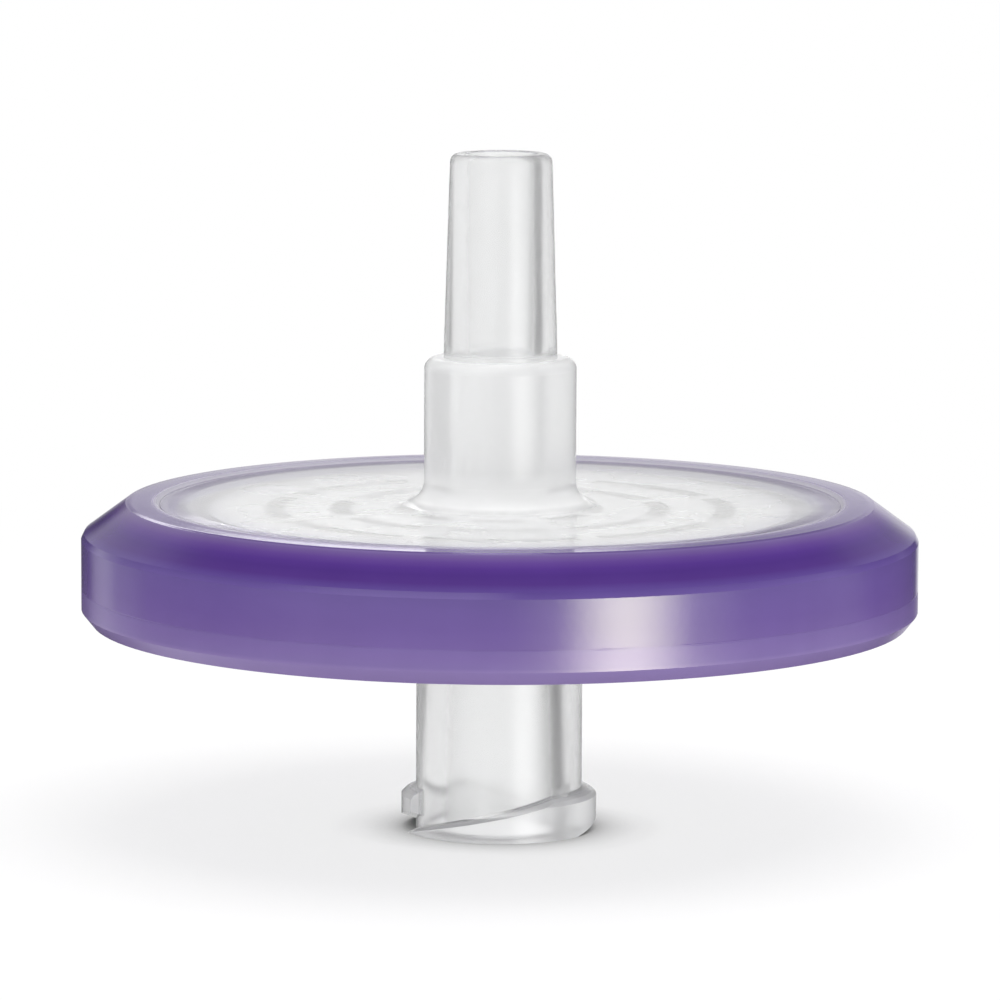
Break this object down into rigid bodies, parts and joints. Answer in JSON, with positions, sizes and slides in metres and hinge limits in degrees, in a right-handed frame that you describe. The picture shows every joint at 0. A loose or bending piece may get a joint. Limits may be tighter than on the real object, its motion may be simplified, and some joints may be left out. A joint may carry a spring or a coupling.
{
  "type": "syringe filter",
  "caption": "Round disc filter for syringes: female luer lock inlet, male luer slip outlet, clear halves round a membrane, coloured overmoulded rim.",
  "frame": {"origin": "centre of the inlet's mouth, on the plane that the filter stands on", "axes": "+Z along the flow axis from the inlet to the outlet; -Y is the front, where the first lock lug climbs to the right"},
  "size_m": [0.033, 0.033, 0.0268],
  "materials": {
    "clear_plastic": "clear natural polypropylene, glossy, slightly milky",
    "membrane": "white microporous film, matt",
    "tinted_plastic": "translucent purple polypropylene, satin gloss"
  },
  "bodies": {
    "root": {"inlet_housing": "clear_plastic", "outlet_housing": "clear_plastic", "membrane": "membrane", "rim_overmould": "tinted_plastic"}
  },
  "joints": []
}
